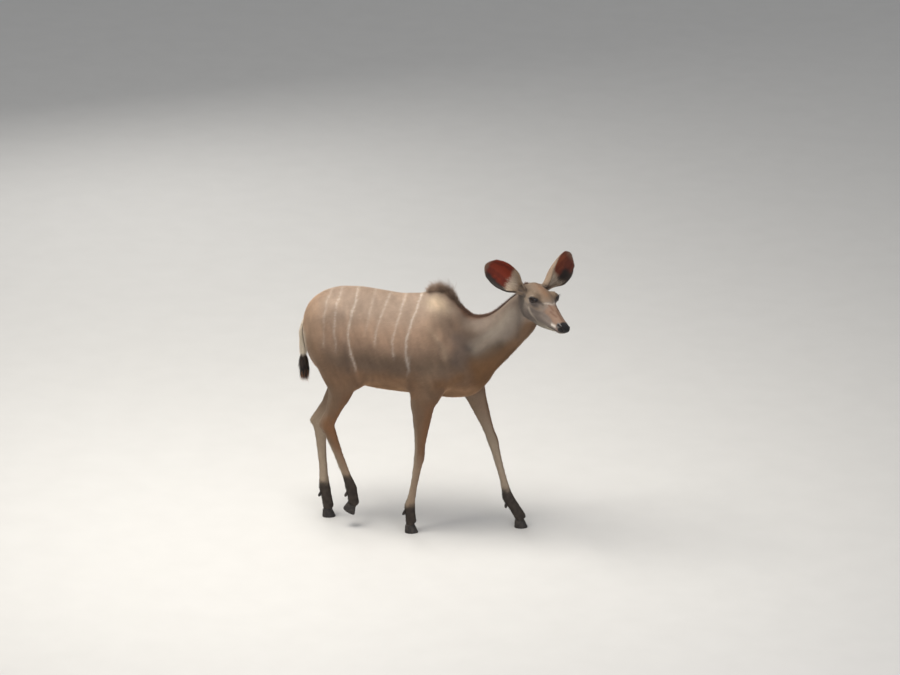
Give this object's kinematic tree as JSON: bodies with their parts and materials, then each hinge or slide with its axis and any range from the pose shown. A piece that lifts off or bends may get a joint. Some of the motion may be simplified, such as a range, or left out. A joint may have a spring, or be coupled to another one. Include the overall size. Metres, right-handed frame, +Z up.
{
  "type": "greater kudu cow model",
  "caption": "Life-size model of a hornless female greater kudu, an antelope with a striped coat, walking with its head turned to its right and a hind foot lifted.",
  "frame": {"origin": "middle of the bounding box, on the floor under the feet", "axes": "+X the way the body faces, +Y the animal's left, +Z up; the head is turned towards -Y"},
  "size_m": [1.314, 0.4736, 1.3798],
  "materials": {
    "short_coat": "short flat fur, pinkish tan, with thin white stripes",
    "long_hair": "long brown and black hair",
    "eye": "wet, dark brown",
    "claw_horn": "wet grey-black horn"
  },
  "bodies": {
    "root": {"trunk": "short_coat", "neck": "short_coat", "head": "short_coat", "leg_front_right": "short_coat", "leg_front_left": "short_coat", "leg_hind_left": "short_coat", "leg_hind_right": "short_coat", "ear_left": "short_coat", "ear_right": "short_coat", "mane_hump": "long_hair", "mane_neck": "long_hair", "tail": "long_hair", "eye_left": "eye", "eye_right": "eye", "claw_front_right_left": "claw_horn", "dewclaw_front_right_left": "claw_horn", "claw_front_right_right": "claw_horn", "dewclaw_front_right_right": "claw_horn", "claw_front_left_left": "claw_horn", "dewclaw_front_left_left": "claw_horn", "claw_front_left_right": "claw_horn", "dewclaw_front_left_right": "claw_horn", "claw_hind_left_left": "claw_horn", "dewclaw_hind_left_left": "claw_horn", "claw_hind_left_right": "claw_horn", "dewclaw_hind_left_right": "claw_horn", "claw_hind_right_left": "claw_horn", "dewclaw_hind_right_left": "claw_horn", "claw_hind_right_right": "claw_horn", "dewclaw_hind_right_right": "claw_horn"}
  },
  "joints": []
}
